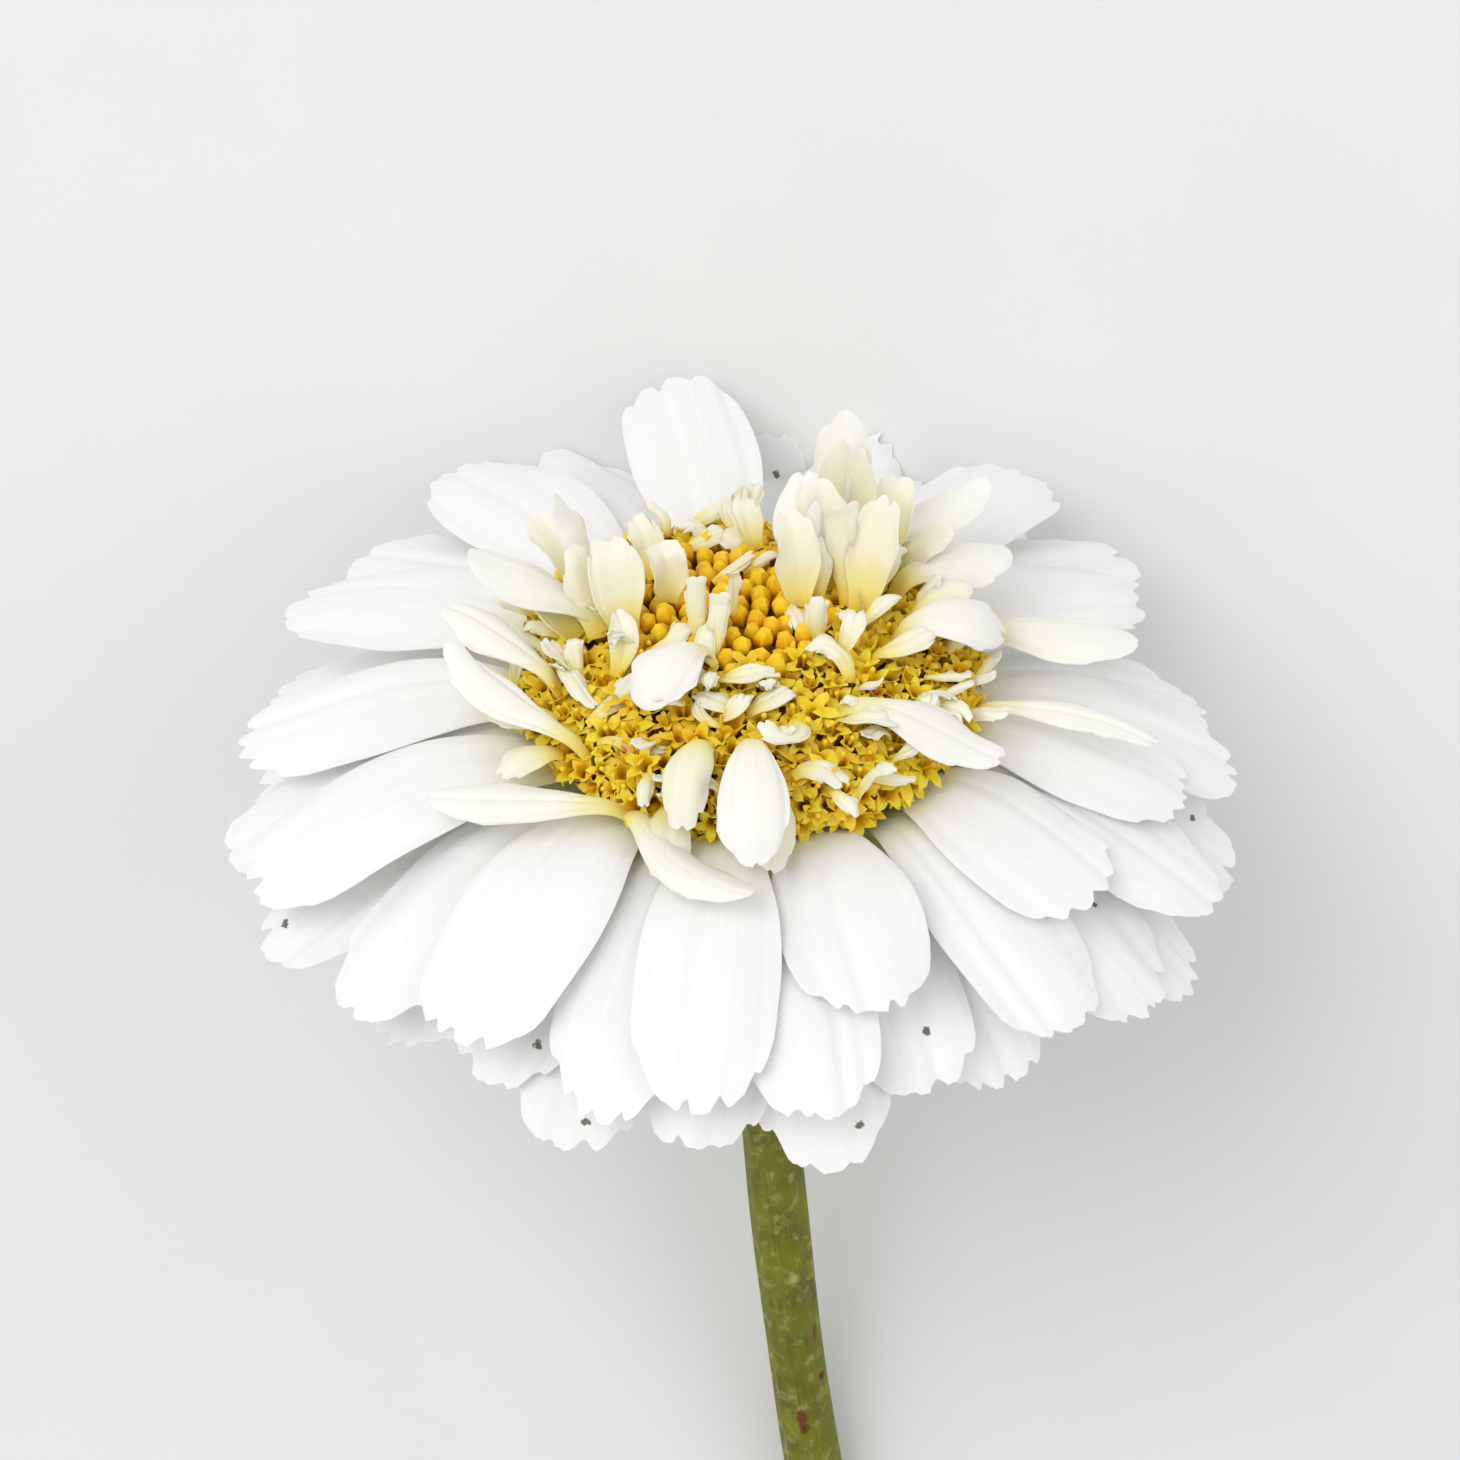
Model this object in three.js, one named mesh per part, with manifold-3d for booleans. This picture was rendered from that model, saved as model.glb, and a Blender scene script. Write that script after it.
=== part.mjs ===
// A double white daisy of the chamomile kind, cut with a short stem and laid on a table.
//
// The flower lies on its side: the face looks HEAD_TILT degrees above the table, the lowest rays
// stand on the table with their tips bent over, and the stem comes down behind to lie along it.
// Millimetres and degrees, +Z up, +Y the way the face looks. The origin is the middle of the
// bounding box's bottom, so the table is the plane z = 0.
//
// The head is built in a frame of its own: +Z out of its face, azimuth 0 towards the part's +X and
// azimuth 90 towards the table. Every ray and inner petal is a thin strap that grows outwards from
// its root: a list of slopes gives its arch, and turn and sway give its heading.

import * as THREE from "three";
import { mergeVertices } from "three/addons/utils/BufferGeometryUtils.js";
import Module from "manifold-3d";

const wasm = await Module();
wasm.setup();

// The pose on the table.
const HEAD_TILT = 27;
const HEAD_HEIGHT = 33; // of the head's centre above the table
const LANDING = 3; // a ray starts to bend over when its underside is this near the table

// The head.
const PETAL_THICKNESS = 0.5;
const CLEARANCE = 0.35; // between neighbouring pieces
const RECEPTACLE_RADIUS = 12.2;
const DISC_RADIUS = 17.3;
const DISC_RIM_HEIGHT = 1;
const DISC_TOP_HEIGHT = 7;
const DISC_STEPS = 7; // rings from the disc's rim to its top
const LATHE_SIDES = 30;

// The stem's line leaves the receptacle straight back, sinks towards its landing point and lies
// down at its end. Its points are in the table's frame, under the middle of the head.
const STEM_RADIUS = 2.35;
const STEM_LENGTH_STEPS = 22;
const STEM_SIDES = 14;
const STEM_LEAVE = { back: 30, aside: 1.5 };
const STEM_LANDING = { x: 3.6, y: -64, z: STEM_RADIUS + 0.5 };
const STEM_END = { x: 7.6, y: -82, z: STEM_RADIUS };

// The mesh of a strap: steps along it, and across it.
const STRAP_STEPS = 7;
const STRAP_LANES = 2;
const WALK_STEPS = 56; // steps of the walk that finds its middle line

// The rays, in four whorls from the face down to the bracts. Slopes are above the head's plane, at
// equal steps from root to tip. Lower whorls start lower and droop more, which keeps them apart.
// Each ray is [azimuth, length, lift, turn]: lift is added to its slopes, and turn is how far its
// heading is off the radius. The rays nearest the table all droop less, and those on top more.
const RAY_DROOP_BIAS = 6;
const WHORLS = [
  {
    name: "upper",
    rootHeight: -2.55,
    slopes: [42, 12, -9, -17, -21, -24],
    width: 10.2,
    rays: [
      [-179, 26], [-149, 28.5, -1, -14], [-124, 26, -1], [-96, 27, -4], [-73, 19.5, 5],
      [-40, 19.5, 4, 6], [-12, 21, 1], [29, 22, 1], [54, 25.5], [98, 24.5, 15], [128, 26.5],
      [154, 26.5, 2, 5],
    ],
  },
  {
    name: "second",
    rootHeight: -3.65,
    slopes: [38, 7, -13, -21, -25, -28],
    width: 10,
    rays: [
      [-168, 28], [-137, 27, 0, -4], [-106, 26.5], [-83, 25.5], [-49, 25], [-23, 26], [0, 25.5],
      [40, 26], [73, 26], [113, 26.5], [141, 27],
    ],
  },
  {
    name: "third",
    rootHeight: -4.75,
    slopes: [34, 3, -17, -25, -29, -32],
    width: 10.2,
    rays: [
      [-155, 28.5], [-122, 25], [-95, 26], [-67, 23], [-38, 26.5], [-12, 26], [15, 25],
      [57, 26.5], [88, 25.5], [163, 27],
    ],
  },
  {
    name: "lower",
    rootHeight: -5.85,
    slopes: [30, -1, -21, -29, -33, -36],
    width: 10,
    rays: [[-138, 24.5], [-112, 26.5], [-80, 26.5], [-55, 23], [-28, 27], [128, 26.5], [172, 27]],
  },
];
const RAY_ROOT_RADIUS = RECEPTACLE_RADIUS + CLEARANCE;
const RAY_CROWN = 0.11; // height of the arch across a petal, in half widths
const RAY_VARIATION = { lift: 1, length: 0.4, width: 0.4, sway: 4, twist: 6 };
const RAY_LIFT_FROM = 3; // the slope in the list from which a ray's lift counts in full

// The inner petals: disc florets that have grown white straps, around and among the yellow ones.
// radius is where the root stands on the disc, turn its heading off the radius, sway what the
// heading turns by along the petal, and twist what the petal turns by about its own middle line.
const INNER_PETALS = [
  { azimuth: 161, radius: 10.8, slopes: [64, 66, 58, 46], length: 8.4, width: 3 },
  { azimuth: 177, radius: 11, slopes: [42, 32, 22, 10], length: 10.4, width: 5.2 },
  { azimuth: -163, radius: 14.8, slopes: [38, 20, 8, -6], length: 9.6, width: 4, turn: -42, sway: -16 },
  { azimuth: -139, radius: 16.2, slopes: [30, 8, 14, 30], length: 12, width: 3.4, turn: -62, sway: -30 },
  { azimuth: -122, radius: 17.9, slopes: [20, 0, -8, -12], length: 13.6, width: 4.4, turn: -50, sway: -30 },
  {
    azimuth: -116, radius: 17.9, slopes: [6, -6, 2, 12], length: 12, width: 4.6,
    turn: 50, sway: 42, twist: -20,
  },
  { azimuth: -89, radius: 12.8, slopes: [38, -4, -34, -48], length: 12, width: 5 },
  { azimuth: -51, radius: 11.8, slopes: [14, -16, -26, -24], length: 11.5, width: 5, turn: 36 },
  { azimuth: -14, radius: 17.5, slopes: [16, 2, -10, -38], length: 13, width: 3 },
  { azimuth: -5, radius: 11, slopes: [50, 18, -26, -64], length: 9, width: 5.6 },
  { azimuth: 7, radius: 16.6, slopes: [18, -6, -8, -18], length: 12, width: 5.4, turn: -8 },
  { azimuth: 25, radius: 12.4, slopes: [30, -2, -12, -8], length: 9, width: 5.6 },
  { azimuth: 43, radius: 12.6, slopes: [26, 4, -2, 22], length: 11, width: 4.2, turn: -6 },
  { azimuth: 59, radius: 11, slopes: [72, 72, 70, 64], length: 10, width: 4.4 },
  { azimuth: -126, radius: 5.6, slopes: [46, 14, -30, -62], length: 8.5, width: 5 },
  { azimuth: 29, radius: 4.3, slopes: [50, 52, 44, 26], length: 8.5, width: 4.4, turn: 58 },
];
const INNER_CROWN = 0.3;
const INNER_ROOT_LIFT = 0.8; // of the middle of its root over the disc

// The underside of the receptacle, as a line that leaves the stem, and the bracts that lie on it in
// two rows. share is how much of the line a bract covers, and drop how far below it the bract lies.
const CUP_LINE = { radius: 2.9, height: -11.9, slopes: [10, 20, 32, 44], length: 13 };
const CUP_SAMPLING = 8; // every so many steps of the line's walk make one ring of the receptacle
const BRACTS_IN_A_ROW = 12;
const BRACT_ROWS = [
  { share: 1, drop: 0, width: 7.2, thickness: 0.8 },
  { share: 0.7, drop: 0.45, width: 6.2, thickness: 1.1 },
];

const radians = THREE.MathUtils.degToRad;

// One number from -1 to 1 for each seed, always the same one.
function jitter(seed) {
  return THREE.MathUtils.seededRandom(seed) * 2 - 1;
}

// A smooth reading of a list of angles at share t of the way along it.
function angleAt(list, t) {
  const place = t * (list.length - 1);
  const i = Math.min(Math.floor(place), list.length - 2);
  return THREE.MathUtils.lerp(list[i], list[i + 1], place - i);
}

// Half the width of a leaf-like piece at share t, as a share of its greatest half width. It starts
// at claw, is full at share full, and from share tip on it closes to a blunt end.
function bladeProfile({ claw, full, tip, closing }) {
  return (t) => {
    const blade = claw + (1 - claw) * THREE.MathUtils.smoothstep(t, 0, full);
    const end = Math.max(0, (t - tip) / (1 - tip));
    return blade * Math.sqrt(1 - closing * end * end);
  };
}

const petalProfile = bladeProfile({ claw: 0.36, full: 0.58, tip: 0.78, closing: 0.72 });
const bractProfile = bladeProfile({ claw: 0.3, full: 0.7, tip: 0.75, closing: 0.8 });

// The middle line of a strap, with its three directions at each step. It starts at radius and
// height in a frame whose X runs outwards, and slides along the table where it comes down on it.
function walkSpine(strap, table) {
  const { radius, height, slopes, length, turn = 0, sway = 0, twist = 0 } = strap;
  const thickness = strap.thickness ?? PETAL_THICKNESS;
  const point = new THREE.Vector3(radius, 0, height);
  const spine = [];
  for (let i = 0; i <= WALK_STEPS; i++) {
    const t = i / WALK_STEPS;
    const slope = radians(angleAt(slopes, t));
    const heading = radians(turn + sway * t);
    const along = new THREE.Vector3(1, 0, 0)
      .applyAxisAngle(new THREE.Vector3(0, 1, 0), -slope)
      .applyAxisAngle(new THREE.Vector3(0, 0, 1), heading);
    const side = new THREE.Vector3(-Math.sin(heading), Math.cos(heading), 0);
    side.applyAxisAngle(along, radians(twist * t));
    const gap = table ? table.distanceToPoint(point) - thickness / 2 : LANDING;
    const pressed = 1 - THREE.MathUtils.clamp(gap / LANDING, 0, 1);
    if (pressed > 0) {
      const sinking = Math.min(0, along.dot(table.normal));
      along.addScaledVector(table.normal, -sinking * pressed).normalize();
      side.addScaledVector(table.normal, -side.dot(table.normal) * pressed);
      side.addScaledVector(along, -side.dot(along)).normalize();
    }
    spine.push({ point: point.clone(), along, side, up: along.clone().cross(side) });
    point.addScaledVector(along, length / WALK_STEPS);
  }
  return spine;
}

// A closed thin solid along the spine. table, if given, is a plane that no vertex goes below, and
// that the upper face stays a thickness above.
function strapGeometry(strap, table) {
  const { width, crown = 0, share = 1, profile = petalProfile } = strap;
  const thickness = strap.thickness ?? PETAL_THICKNESS;
  const lanes = strap.lanes ?? STRAP_LANES;
  const spine = walkSpine(strap, table);
  const geometry = new THREE.BoxGeometry(1, 1, 1, STRAP_STEPS, lanes, 1);
  const position = geometry.getAttribute("position");
  const vertex = new THREE.Vector3();
  for (let i = 0; i < position.count; i++) {
    const t = position.getX(i) + 0.5;
    const across = position.getY(i) * 2;
    const layer = position.getZ(i);
    const { point, side, up } = spine[Math.round(t * share * WALK_STEPS)];
    const half = (width / 2) * profile(t);
    vertex.copy(point);
    vertex.addScaledVector(side, across * half);
    vertex.addScaledVector(up, layer * thickness - crown * half * across * across);
    const lowest = (layer + 0.5) * thickness;
    const rise = table ? lowest - table.distanceToPoint(vertex) : 0;
    if (rise > 0) vertex.addScaledVector(table.normal, rise);
    position.setXYZ(i, vertex.x, vertex.y, vertex.z);
  }
  return geometry;
}

// The height of the disc's top over the head's plane, at this radius.
function discTop(radius) {
  const share = Math.min(1, radius / DISC_RADIUS);
  const rise = DISC_TOP_HEIGHT - DISC_RIM_HEIGHT;
  return DISC_RIM_HEIGHT + rise * Math.sqrt(1 - share * share);
}

// A solid of revolution about Z through [radius, height] points that start and end on the axis.
function latheZ(points) {
  const profile = points.map(([radius, height]) => new THREE.Vector2(radius, height));
  return new THREE.LatheGeometry(profile, LATHE_SIDES).rotateX(Math.PI / 2);
}

// The packed disc florets as one cap, which overhangs the roots of the upper rays.
function discGeometry() {
  const underside = [[0, 2.9], [4.1, 2.5], [8.3, 1.3], [11.8, -0.9], [14.4, -0.3], [16.4, 0.4]];
  const dome = [];
  for (let i = 0; i < DISC_STEPS; i++) {
    const radius = DISC_RADIUS * Math.cos((i / DISC_STEPS) * (Math.PI / 2));
    dome.push([radius, discTop(radius)]);
  }
  dome.push([0, DISC_TOP_HEIGHT]);
  return latheZ([...underside, ...dome]);
}

// A three.js geometry as a manifold-3d solid, and back.
function toSolid(geometry) {
  const bare = geometry.clone();
  bare.deleteAttribute("normal");
  bare.deleteAttribute("uv");
  const merged = mergeVertices(bare, 1e-4);
  const vertProperties = new Float32Array(merged.attributes.position.array);
  const triVerts = new Uint32Array(merged.index.array);
  return new wasm.Manifold(new wasm.Mesh({ numProp: 3, vertProperties, triVerts }));
}

function fromSolid(solid) {
  const mesh = solid.getMesh();
  const geometry = new THREE.BufferGeometry();
  geometry.setAttribute("position", new THREE.BufferAttribute(mesh.vertProperties, 3));
  geometry.setIndex(new THREE.BufferAttribute(mesh.triVerts, 1));
  geometry.computeVertexNormals();
  return geometry;
}

// The swollen top of the stem, which carries all the florets, with its overlapping green bracts.
function involucreGeometry() {
  const line = walkSpine(CUP_LINE).map(({ point }) => [point.x, point.z]);
  const rings = line.filter((_, i) => i % CUP_SAMPLING === 0);
  const underside = rings.filter(([radius]) => radius < RECEPTACLE_RADIUS);
  const dome = [[RECEPTACLE_RADIUS, -2.2], [11, -1.1], [8, 0.9], [4, 2.1], [0, 2.5]];
  const rim = [RECEPTACLE_RADIUS, -6.6];
  let cup = toSolid(latheZ([[0, CUP_LINE.height], ...underside, rim, ...dome]));
  BRACT_ROWS.forEach((row, rowIndex) => {
    for (let i = 0; i < BRACTS_IN_A_ROW; i++) {
      const azimuth = ((i + rowIndex / 2) * 360) / BRACTS_IN_A_ROW;
      const height = CUP_LINE.height - row.drop;
      const bract = strapGeometry({ ...CUP_LINE, ...row, height, profile: bractProfile, lanes: 1 });
      cup = cup.add(toSolid(bract.rotateZ(radians(azimuth))));
    }
  });
  return fromSolid(cup);
}

// The stem, from just under the receptacle down to the table, where its cut end lies.
function stemGeometry(top, away) {
  const leave = top.clone().addScaledVector(away, STEM_LEAVE.back);
  leave.x += STEM_LEAVE.aside;
  const land = new THREE.Vector3().copy(STEM_LANDING);
  const end = new THREE.Vector3().copy(STEM_END);
  const path = new THREE.CubicBezierCurve3(top, leave, land, end);
  const section = new THREE.Shape();
  section.absarc(0, 0, STEM_RADIUS, 0, 2 * Math.PI);
  return new THREE.ExtrudeGeometry(section, {
    steps: STEM_LENGTH_STEPS,
    curveSegments: STEM_SIDES,
    extrudePath: path,
  });
}

const petalWhite = new THREE.MeshStandardMaterial({ color: 0xf7f6f2, roughness: 0.6, metalness: 0 });
const innerCream = new THREE.MeshStandardMaterial({ color: 0xf3ead0, roughness: 0.55, metalness: 0 });
const discYellow = new THREE.MeshStandardMaterial({ color: 0xe6b80f, roughness: 0.6, metalness: 0 });
const bractGreen = new THREE.MeshStandardMaterial({ color: 0x6f7f35, roughness: 0.65, metalness: 0 });
const stemGreen = new THREE.MeshStandardMaterial({ color: 0x74822c, roughness: 0.6, metalness: 0 });

function named(name, geometry, material) {
  const mesh = new THREE.Mesh(geometry, material);
  mesh.name = name;
  return mesh;
}

// The head's frame on the table.
const head = new THREE.Group();
head.rotation.x = radians(HEAD_TILT - 90);
head.position.set(0, 0, HEAD_HEIGHT);
head.updateMatrixWorld(true);

// The table as a plane in the frame of a mesh that the head carries at this azimuth.
function tableSeenFrom(azimuth) {
  const frame = new THREE.Matrix4().makeRotationZ(radians(azimuth)).premultiply(head.matrixWorld);
  return new THREE.Plane(new THREE.Vector3(0, 0, 1), 0).applyMatrix4(frame.invert());
}

function numbered(name, index) {
  return `${name}_${String(index + 1).padStart(2, "0")}`;
}

function addRays() {
  WHORLS.forEach((whorl, whorlIndex) => {
    whorl.rays.forEach(([azimuth, length, lift = 0, turn = 0], i) => {
      const seed = 100 * whorlIndex + 7 * i + 1;
      const bias = RAY_DROOP_BIAS * Math.sin(radians(azimuth));
      const rise = lift + bias + RAY_VARIATION.lift * jitter(seed);
      const ray = {
        radius: RAY_ROOT_RADIUS,
        height: whorl.rootHeight,
        slopes: whorl.slopes.map((slope, k) => slope + rise * Math.min(1, k / RAY_LIFT_FROM)),
        length: length + RAY_VARIATION.length * jitter(seed + 1),
        width: whorl.width + RAY_VARIATION.width * jitter(seed + 2),
        turn,
        sway: RAY_VARIATION.sway * jitter(seed + 3),
        twist: RAY_VARIATION.twist * jitter(seed + 4),
        crown: RAY_CROWN,
      };
      const geometry = strapGeometry(ray, tableSeenFrom(azimuth));
      const mesh = named(numbered(`ray_${whorl.name}`, i), geometry, petalWhite);
      mesh.rotation.z = radians(azimuth);
      head.add(mesh);
    });
  });
}

function addInnerPetals() {
  INNER_PETALS.forEach((petal, i) => {
    const height = discTop(petal.radius) + INNER_ROOT_LIFT;
    const geometry = strapGeometry({ ...petal, height, crown: INNER_CROWN });
    const mesh = named(numbered("inner_petal", i), geometry, innerCream);
    mesh.rotation.z = radians(petal.azimuth);
    head.add(mesh);
  });
}

head.add(named("disc_florets", discGeometry(), discYellow));
head.add(named("involucre", involucreGeometry(), bractGreen));
addRays();
addInnerPetals();

const flower = new THREE.Group();
flower.add(head);
const away = new THREE.Vector3(0, 0, -1).transformDirection(head.matrixWorld);
const stemTop = new THREE.Vector3(0, 0, CUP_LINE.height - CLEARANCE).applyMatrix4(head.matrixWorld);
flower.add(named("stem", stemGeometry(stemTop, away), stemGreen));

// The origin goes to the middle of the box, on the table.
flower.updateMatrixWorld(true);
const middle = new THREE.Box3().setFromObject(flower, true).getCenter(new THREE.Vector3());
flower.position.set(-middle.x, -middle.y, 0);

export default flower;
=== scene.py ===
"""A double white daisy of the chamomile kind, cut with a short stem and laid on its side.

Lengths are millimetres until a mesh is made. The head has a frame of its own, read from the CAD
disc: +z out of its face, +x to the right, +y towards the table, origin in the plane of the head.
"""

import math

import bpy
import numpy as np
from mathutils import Matrix, Vector


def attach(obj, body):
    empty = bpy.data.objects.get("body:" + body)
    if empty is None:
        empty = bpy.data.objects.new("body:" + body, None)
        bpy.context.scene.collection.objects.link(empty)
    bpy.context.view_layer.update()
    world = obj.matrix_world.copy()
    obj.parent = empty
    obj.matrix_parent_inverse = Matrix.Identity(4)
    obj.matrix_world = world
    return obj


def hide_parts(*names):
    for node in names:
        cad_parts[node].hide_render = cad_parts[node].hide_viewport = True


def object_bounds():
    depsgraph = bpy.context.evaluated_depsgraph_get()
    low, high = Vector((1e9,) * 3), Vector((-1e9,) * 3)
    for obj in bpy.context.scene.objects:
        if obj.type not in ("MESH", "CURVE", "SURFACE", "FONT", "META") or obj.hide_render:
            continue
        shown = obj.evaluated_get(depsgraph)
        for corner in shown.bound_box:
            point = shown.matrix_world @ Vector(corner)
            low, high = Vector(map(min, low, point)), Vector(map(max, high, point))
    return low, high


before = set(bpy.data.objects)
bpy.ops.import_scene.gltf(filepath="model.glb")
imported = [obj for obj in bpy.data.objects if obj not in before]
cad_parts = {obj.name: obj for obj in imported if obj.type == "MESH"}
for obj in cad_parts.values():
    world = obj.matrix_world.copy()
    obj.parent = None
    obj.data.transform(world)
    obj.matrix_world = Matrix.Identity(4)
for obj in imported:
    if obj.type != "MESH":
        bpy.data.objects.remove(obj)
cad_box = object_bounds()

MM = 0.001
PI = math.pi

# ---- reading the frame


def unit(v):
    return v / np.maximum(np.linalg.norm(v, axis=-1, keepdims=True), 1e-12)


def node_mesh(name):
    """The corners of a CAD node in millimetres, each once, and its triangles."""
    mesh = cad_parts[name].data
    corners = np.empty(len(mesh.vertices) * 3)
    mesh.vertices.foreach_get("co", corners)
    mesh.calc_loop_triangles()
    triangles = np.empty(len(mesh.loop_triangles) * 3, int)
    mesh.loop_triangles.foreach_get("vertices", triangles)
    points, index = np.unique(np.round(corners.reshape(-1, 3) / MM, 3), axis=0, return_inverse=True)
    return points, index.ravel()[triangles].reshape(-1, 3)


def read_head():
    """The head's origin, its three directions as columns, and the disc's radius and heights."""
    points, _ = node_mesh("disc_florets")
    middle = points.mean(0)
    axis = np.linalg.svd(points - middle)[2][2]
    axis = axis * np.sign(axis[1])
    right = unit(np.array([1.0, 0, 0]) - axis[0] * axis)
    turn = np.stack([right, np.cross(axis, right), axis], axis=1)
    local = (points - middle) @ turn
    radius = np.hypot(local[:, 0], local[:, 1])
    rim = local[radius > radius.max() - 0.01, 2].mean()
    top = local[:, 2].max()
    return middle, turn, radius.max(), rim, top


DISC_TOP = 7.0  # height of the disc's top over the plane of the head
head_middle, HEAD_TURN, DISC_RADIUS, rim, top = read_head()
HEAD_ORIGIN = head_middle + HEAD_TURN[:, 2] * (top - DISC_TOP)
DISC_RIM = DISC_TOP - (top - rim)
FACE = HEAD_TURN[:, 2]


def from_head(points):
    """Points of the head's frame in the frame of the whole flower."""
    return HEAD_ORIGIN + points @ HEAD_TURN.T


def neighbours_of(triangles):
    """For each corner, the corners that share an edge with it."""
    near = {}
    for a, b, c in triangles:
        for p, q in ((a, b), (b, c), (c, a)):
            near.setdefault(p, set()).add(q)
            near.setdefault(q, set()).add(p)
    return near


def rings_from(start, near):
    """Rings of corners, each one step further from the first."""
    rings, seen = [sorted(start)], set(start)
    while True:
        ring = sorted({q for p in rings[-1] for q in near[p]} - seen)
        if not ring:
            return rings
        rings.append(ring)
        seen.update(ring)


STRAP_RINGS = 8  # of a CAD petal, from its root to its tip
STRAP_CORNERS = 6  # of each ring: lower and upper ones at the left, the middle and the right


def end_caps(points, triangles):
    """Each flat patch of a strap that is one of its two ends."""
    a, b, c = (points[triangles[:, k]] for k in range(3))
    normals = unit(np.cross(b - a, c - a))
    patches = {i: {i} for i in range(len(triangles))}
    for i in range(len(triangles)):
        for j in range(i):
            shared = len(set(triangles[i]) & set(triangles[j]))
            if shared == 2 and normals[i] @ normals[j] > 0.9998 and patches[i] is not patches[j]:
                joined = patches[i] | patches[j]
                for k in joined:
                    patches[k] = joined
    flat = {id(p): p for p in patches.values()}
    for patch in flat.values():
        corners = {v for i in patch for v in triangles[i]}
        if len(patch) == 4 and len(corners) == STRAP_CORNERS:
            yield corners


def read_strap(name):
    """A CAD petal as rings from root to tip: middle, half width vector, arch vector and up."""
    points, triangles = node_mesh(name)
    near = neighbours_of(triangles)
    found = []
    for corners in end_caps(points, triangles):
        rings = rings_from(corners, near)
        if len(rings) == STRAP_RINGS and all(len(r) == STRAP_CORNERS for r in rings):
            found.append(rings)

    def first_width(rings):
        return np.linalg.norm(np.ptp(points[rings[0]], axis=0))

    rings = min(found, key=first_width)  # which starts at the root, the narrower end
    centres = np.array([points[r].mean(0) for r in rings])
    along = unit(np.gradient(centres, axis=0))
    middle, half, arch, ups = [], [], [], []
    up = FACE
    for k, ring in enumerate(rings):
        corners = points[ring]
        across = np.linalg.svd(corners - corners.mean(0))[2][0]
        order = np.argsort((corners - corners.mean(0)) @ across)
        left, ridge, right = corners[order[:2]], corners[order[2:4]], corners[order[4:]]
        rise = unit(ridge[1] - ridge[0])
        up = rise * np.sign(rise @ up)
        if across @ np.cross(up, along[k]) < 0:
            left, right = right, left
        left, ridge, right = left.mean(0), ridge.mean(0), right.mean(0)
        middle.append(ridge)
        half.append((right - left) / 2)
        arch.append((left + right) / 2 - ridge)
        ups.append(up)
    return {
        "middle": np.array(middle), "half": np.array(half),
        "arch": np.array(arch), "up": np.array(ups),
    }


def smooth(knots, share):
    """A Catmull-Rom reading of evenly spaced knots at these shares of the way along them."""
    place = np.clip(share, 0, 1) * (len(knots) - 1)
    i = np.minimum(place.astype(int), len(knots) - 2)
    f = (place - i)[..., None]
    ends = [2 * knots[:1] - knots[1:2], knots, 2 * knots[-1:] - knots[-2:-1]]
    padded = np.concatenate(ends)
    a, b, c, d = (padded[i + k] for k in range(4))
    cubic = -a + 3 * b - 3 * c + d
    return 0.5 * (2 * b + (c - a) * f + (2 * a - 5 * b + 4 * c - d) * f**2 + cubic * f**3)


def ease(x, start, end):
    """0 up to start, 1 from end on, and a soft step between them."""
    x = np.clip((x - start) / (end - start), 0, 1)
    return x * x * (3 - 2 * x)


# ---- meshes

CREASE = math.radians(50)  # a sharper edge isn't shaded smooth


class Batch:
    """Closed bodies that are joined into one piece, with numbers for the shader at each corner."""

    def __init__(self):
        self.points, self.quads, self.triangles = [], [], []
        self.facts = {}
        self.count = 0

    def add(self, points, quads=(), triangles=(), **facts):
        self.points.append(points)
        if len(quads):
            self.quads.append(np.asarray(quads) + self.count)
        if len(triangles):
            self.triangles.append(np.asarray(triangles) + self.count)
        for key, value in facts.items():
            values = np.broadcast_to(np.asarray(value, float), (len(points),))
            self.facts.setdefault(key, []).append(values)
        self.count += len(points)

    def piece(self, name, material, slot, nodes):
        quads = np.concatenate(self.quads) if self.quads else np.zeros((0, 4), int)
        triangles = np.concatenate(self.triangles) if self.triangles else np.zeros((0, 3), int)
        mesh = bpy.data.meshes.new(name)
        mesh.vertices.add(self.count)
        mesh.vertices.foreach_set("co", (np.concatenate(self.points) * MM).ravel())
        loops = np.concatenate([quads.ravel(), triangles.ravel()])
        mesh.loops.add(len(loops))
        mesh.loops.foreach_set("vertex_index", loops)
        starts = [np.arange(len(quads)) * 4, quads.size + np.arange(len(triangles)) * 3]
        mesh.polygons.add(len(quads) + len(triangles))
        mesh.polygons.foreach_set("loop_start", np.concatenate(starts))
        mesh.update(calc_edges=True)
        mesh.shade_smooth()
        mesh.set_sharp_from_angle(angle=CREASE)
        for key, values in self.facts.items():
            attribute = mesh.attributes.new(key, "FLOAT", "POINT")
            attribute.data.foreach_set("value", np.concatenate(values))
        mesh.materials.append(material)
        made = bpy.data.objects.new(name, mesh)
        bpy.context.scene.collection.objects.link(made)
        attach(made, "root")
        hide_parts(*nodes)
        return made


def grid_quads(rows, columns, closed=False):
    """Quads of a grid of rows x columns corners. closed joins its last column to its first."""
    i, j = np.meshgrid(np.arange(rows - 1), np.arange(columns - (not closed)), indexing="ij")
    j2 = (j + 1) % columns
    quads = [i * columns + j, i * columns + j2, (i + 1) * columns + j2, (i + 1) * columns + j]
    return np.stack(quads, axis=-1).reshape(-1, 4)


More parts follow.
